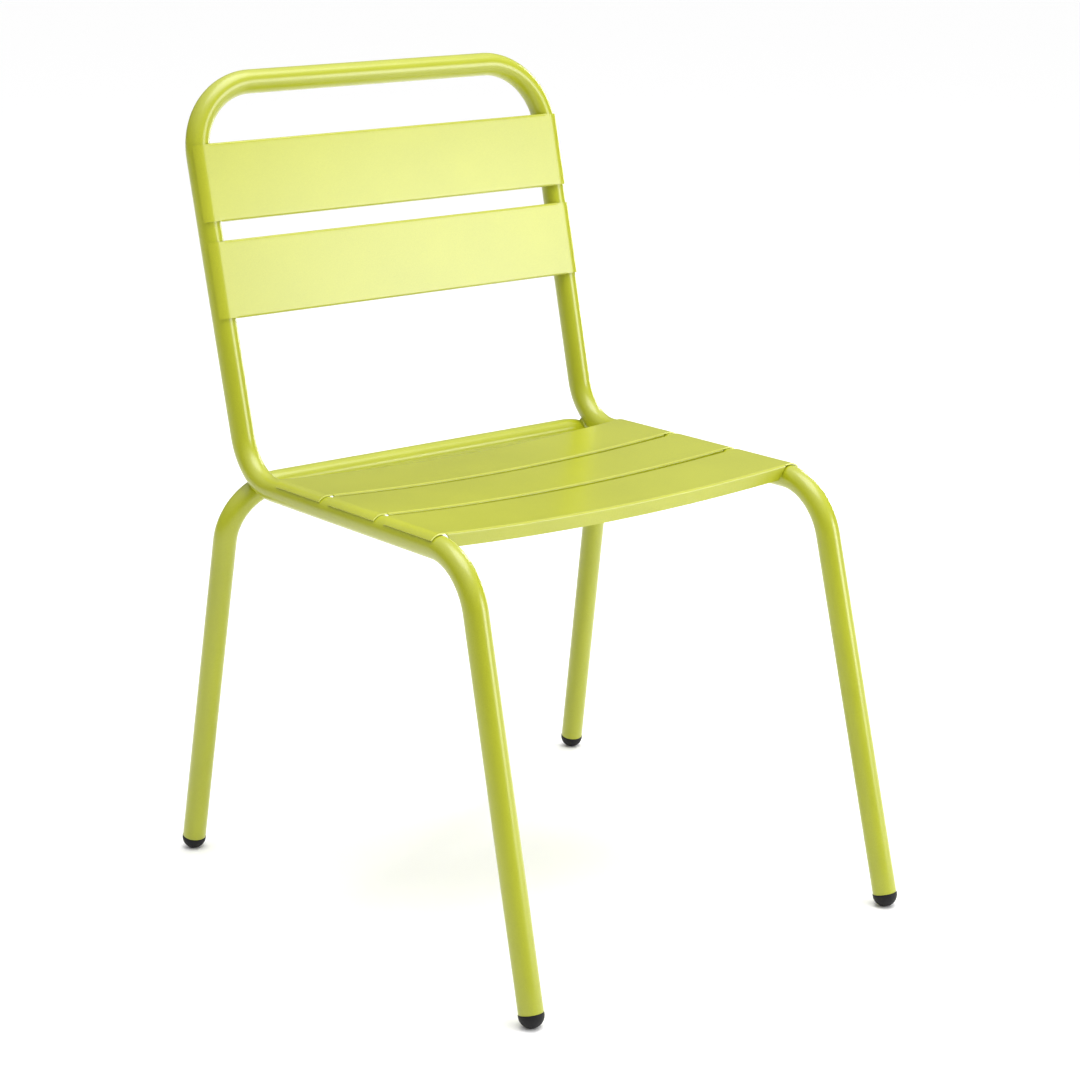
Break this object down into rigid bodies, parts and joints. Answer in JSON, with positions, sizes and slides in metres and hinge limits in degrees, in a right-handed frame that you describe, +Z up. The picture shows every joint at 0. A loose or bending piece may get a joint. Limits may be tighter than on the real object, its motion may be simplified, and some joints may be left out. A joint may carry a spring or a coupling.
{
  "type": "stacking chair",
  "caption": "Armless stacking chair: bent steel tube frame with a continuous front leg, seat and back loop, splayed rear legs, dished slatted seat and slatted back, domed foot caps.",
  "frame": {"origin": "on the floor, at the middle of the chair's bounding box", "axes": "+Z up, -Y towards the front of the seat, +X across the chair, to the right of someone facing its front"},
  "size_m": [0.5516, 0.6198, 0.839],
  "materials": {
    "tube_paint": "satin lime powder coat, fine grain",
    "slat_paint": "satin lime powder coat on sheet, fine grain",
    "weld_paint": "lime powder coat over a weld bead",
    "cap_plastic": "matte black moulded plastic"
  },
  "bodies": {
    "root": {"main_frame_tube": "tube_paint", "rear_leg_tube": "tube_paint", "seat_slat_front": "slat_paint", "seat_slat_middle": "slat_paint", "seat_slat_rear": "slat_paint", "back_slat_upper": "slat_paint", "back_slat_lower": "slat_paint", "foot_cap_front_left": "cap_plastic", "foot_cap_front_right": "cap_plastic", "foot_cap_rear_left": "cap_plastic", "foot_cap_rear_right": "cap_plastic", "joint_weld_left": "weld_paint", "joint_weld_right": "weld_paint", "seat_slat_welds": "weld_paint", "back_slat_welds": "weld_paint"}
  },
  "joints": []
}
